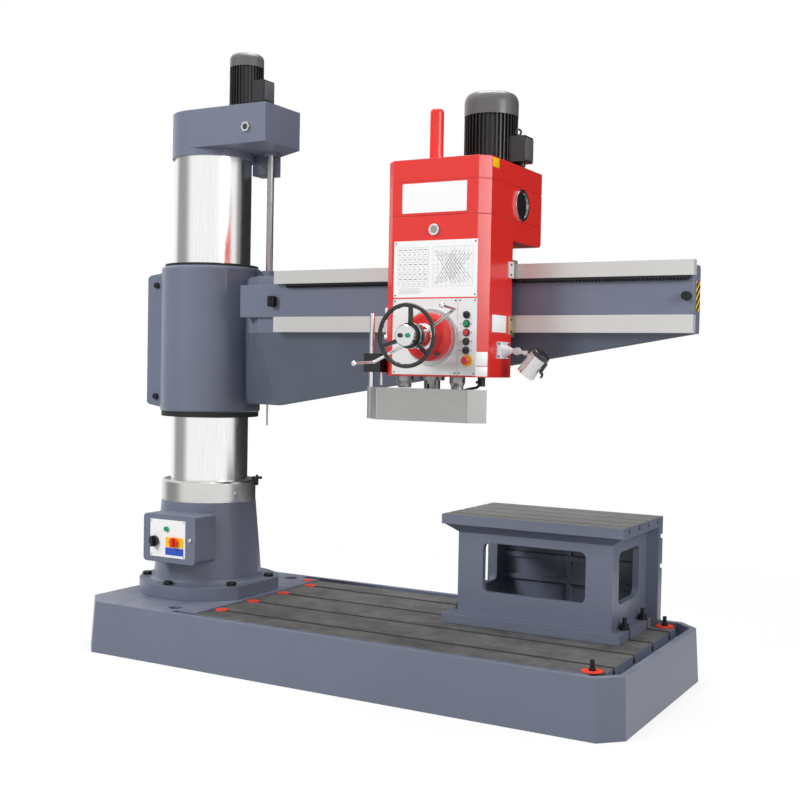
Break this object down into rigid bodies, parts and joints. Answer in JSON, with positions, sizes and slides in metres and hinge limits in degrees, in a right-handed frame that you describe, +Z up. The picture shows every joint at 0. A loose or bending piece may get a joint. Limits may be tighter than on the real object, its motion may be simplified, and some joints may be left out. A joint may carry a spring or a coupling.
{
  "type": "radial arm drill",
  "caption": "Radial arm drilling machine: slotted cast base with box table, turning column, lifting arm and red drill head with feed levers, handwheel, guard and work lamp",
  "frame": {"origin": "column axis at floor level", "axes": "X runs along the base and the arm from the column to the table, Y points away from the operator, Z is up"},
  "size_m": [2.621, 1.3052, 2.643],
  "materials": {
    "base_paint": "satin",
    "arm_paint": "satin",
    "head_paint": "gloss",
    "ground_steel": "ground",
    "bright_steel": "polished",
    "dark_steel": "oiled",
    "bare_iron": "machined",
    "motor_paint": "satin",
    "red_plastic": "satin",
    "black_plastic": "satin",
    "green_plastic": "gloss",
    "signal_red": "gloss",
    "white_plate": "satin",
    "seal_rubber": "matt",
    "pad_bronze": "machined",
    "lamp_alloy": "satin",
    "handle_white": "gloss"
  },
  "bodies": {
    "base": {"base_casting": "base_paint", "slot_caps": "red_plastic", "clamp_studs": "dark_steel", "pedestal": "base_paint", "pedestal_bolts": "dark_steel", "inner_column": "bare_iron", "column_bearings": "bright_steel", "clamp_ring": "ground_steel", "control_box": "base_paint", "control_plate": "white_plate", "work_table": "base_paint"},
    "pump_knob": {"pump_switch": "black_plastic"},
    "main_knob": {"main_switch": "signal_red"},
    "column": {"column_sleeve": "ground_steel", "top_cap": "base_paint", "cap_plug": "bright_steel", "lift_motor": "motor_paint", "lift_motor_cowl": "motor_paint"},
    "screw": {"lift_screw": "ground_steel"},
    "arm": {"arm_casting": "arm_paint", "guideways": "ground_steel", "hub_wipers": "seal_rubber", "hub_clamp_bolts": "dark_steel", "lift_nut": "arm_paint", "travel_stops": "dark_steel", "traverse_rack": "dark_steel"},
    "head": {"head_body": "head_paint", "gearbox_housing": "head_paint", "front_plates": "white_plate", "panel_plate": "white_plate", "oil_sights": "bright_steel", "main_motor": "motor_paint", "main_motor_cowl": "motor_paint", "spindle_cover": "head_paint", "head_keepers": "pad_bronze", "head_brackets": "dark_steel", "coolant_pipe": "dark_steel"},
    "pinion": {"traverse_pinion": "dark_steel"},
    "wheel": {"handwheel": "black_plastic", "hub_cap": "bright_steel"},
    "clamp_key": {"clamp_button": "green_plastic"},
    "release_key": {"release_button": "black_plastic"},
    "feed_hub": {"feed_drum": "head_paint", "feed_levers": "bright_steel", "pinion_shaft": "dark_steel"},
    "quill_slide": {"quill": "dark_steel"},
    "spindle_shaft": {"spindle": "dark_steel"},
    "selector": {"mode_selector": "black_plastic"},
    "start_key": {"start_button": "green_plastic"},
    "stop_key": {"stop_button": "signal_red"},
    "raise_key": {"raise_button": "black_plastic"},
    "lower_key": {"lower_button": "black_plastic"},
    "stop_mushroom": {"emergency_stop": "signal_red"},
    "speed_dial": {"speed_knob": "dark_steel"},
    "feed_dial": {"feed_knob": "dark_steel"},
    "reverse_lever": {"spindle_lever": "handle_white"},
    "lamp_link": {"lamp_arm": "lamp_alloy"},
    "lamp_body": {"lamp_head": "lamp_alloy"},
    "guard_rod": {"guard_post": "bright_steel"},
    "guard": {"guard_sheet": "bright_steel"}
  },
  "joints": [
    {"name": "column_swing", "type": "hinge", "parent": "base", "child": "column", "pos_m": [0, 0, 0.7], "axis": [0, 0, 1], "range_deg": [-180, 180]},
    {"name": "arm_lift", "type": "slide", "parent": "column", "child": "arm", "axis": [0, 0, 1], "range_m": [-0.235, 0.345]},
    {"name": "screw_turn", "type": "hinge", "parent": "column", "child": "screw", "pos_m": [0.28, 0.06, 2.2], "axis": [0, 0, 1], "range_deg": [-16000, 22000]},
    {"name": "head_traverse", "type": "slide", "parent": "arm", "child": "head", "axis": [1, 0, 0], "range_m": [-0.655, 0.635]},
    {"name": "pinion_turn", "type": "hinge", "parent": "head", "child": "pinion", "pos_m": [1.4175, -0.3, 1.559], "axis": [0, 1, 0], "range_deg": [-1300, 1300]},
    {"name": "wheel_turn", "type": "hinge", "parent": "head", "child": "wheel", "pos_m": [1.4175, -0.6, 1.374], "axis": [0, 1, 0], "range_deg": [-1300, 1300]},
    {"name": "quill_feed", "type": "slide", "parent": "head", "child": "quill_slide", "axis": [0, 0, -1], "range_m": [0, 0.315]},
    {"name": "feed_turn", "type": "hinge", "parent": "head", "child": "feed_hub", "pos_m": [1.4175, -0.5, 1.374], "axis": [0, -1, 0], "range_deg": [-5, 940]},
    {"name": "spindle_turn", "type": "hinge", "parent": "quill_slide", "child": "spindle_shaft", "pos_m": [1.357, -0.375, 1.2], "axis": [0, 0, -1], "continuous": true},
    {"name": "clamp_press", "type": "slide", "parent": "wheel", "child": "clamp_key", "axis": [0, 1, 0], "range_m": [0, 0.003], "stiffness_N_per_m": 400, "springref_m": -0.0015},
    {"name": "release_press", "type": "slide", "parent": "wheel", "child": "release_key", "axis": [0, 1, 0], "range_m": [0, 0.003], "stiffness_N_per_m": 400, "springref_m": -0.0015},
    {"name": "mode_turn", "type": "hinge", "parent": "head", "child": "selector", "pos_m": [1.559, -0.505, 1.455], "axis": [0, 1, 0], "range_deg": [-70, 0]},
    {"name": "start_press", "type": "slide", "parent": "head", "child": "start_key", "axis": [0, 1, 0], "range_m": [0, 0.003], "stiffness_N_per_m": 400, "springref_m": -0.0015},
    {"name": "stop_press", "type": "slide", "parent": "head", "child": "stop_key", "axis": [0, 1, 0], "range_m": [0, 0.003], "stiffness_N_per_m": 400, "springref_m": -0.0015},
    {"name": "raise_press", "type": "slide", "parent": "head", "child": "raise_key", "axis": [0, 1, 0], "range_m": [0, 0.003], "stiffness_N_per_m": 400, "springref_m": -0.0015},
    {"name": "lower_press", "type": "slide", "parent": "head", "child": "lower_key", "axis": [0, 1, 0], "range_m": [0, 0.003], "stiffness_N_per_m": 400, "springref_m": -0.0015},
    {"name": "emergency_press", "type": "slide", "parent": "head", "child": "stop_mushroom", "axis": [0, 1, 0], "range_m": [0, 0.003], "stiffness_N_per_m": 900, "springref_m": -0.0015},
    {"name": "speed_turn", "type": "hinge", "parent": "head", "child": "speed_dial", "pos_m": [1.268, -0.43, 1.2], "axis": [0, 0, 1], "continuous": true},
    {"name": "feed_select_turn", "type": "hinge", "parent": "head", "child": "feed_dial", "pos_m": [1.491, -0.43, 1.2], "axis": [0, 0, 1], "continuous": true},
    {"name": "lever_swing", "type": "hinge", "parent": "head", "child": "reverse_lever", "pos_m": [1.196, -0.443, 1.375], "axis": [1, 0, 0], "range_deg": [-20, 20]},
    {"name": "lamp_swing", "type": "hinge", "parent": "head", "child": "lamp_link", "pos_m": [1.69, -0.345, 1.328], "axis": [0, 1, 0], "range_deg": [-30, 30]},
    {"name": "lamp_tilt", "type": "hinge", "parent": "lamp_link", "child": "lamp_body", "pos_m": [1.726, -0.345, 1.322], "axis": [0, 1, 0], "range_deg": [-35, 25]},
    {"name": "guard_lift", "type": "slide", "parent": "head", "child": "guard_rod", "axis": [0, 0, 1], "range_m": [-0.1, 0.05]},
    {"name": "guard_swing", "type": "hinge", "parent": "guard_rod", "child": "guard", "pos_m": [1.152, -0.48, 1.12], "axis": [0, 0, 1], "range_deg": [-100, 0]},
    {"name": "pump_turn", "type": "hinge", "parent": "base", "child": "pump_knob", "pos_m": [-0.02, -0.35, 0.479], "axis": [0, 1, 0], "range_deg": [-45, 45]},
    {"name": "main_turn", "type": "hinge", "parent": "base", "child": "main_knob", "pos_m": [0.092, -0.35, 0.482], "axis": [0, 1, 0], "range_deg": [0, 90]}
  ],
  "couplings": [
    {"joint": "screw_turn", "follows": "arm_lift", "rad_per_m": 785.4},
    {"joint": "pinion_turn", "follows": "head_traverse", "rad_per_m": -33.333},
    {"joint": "wheel_turn", "follows": "head_traverse", "rad_per_m": 33.333},
    {"joint": "feed_turn", "follows": "quill_feed", "rad_per_m": 51.282}
  ]
}
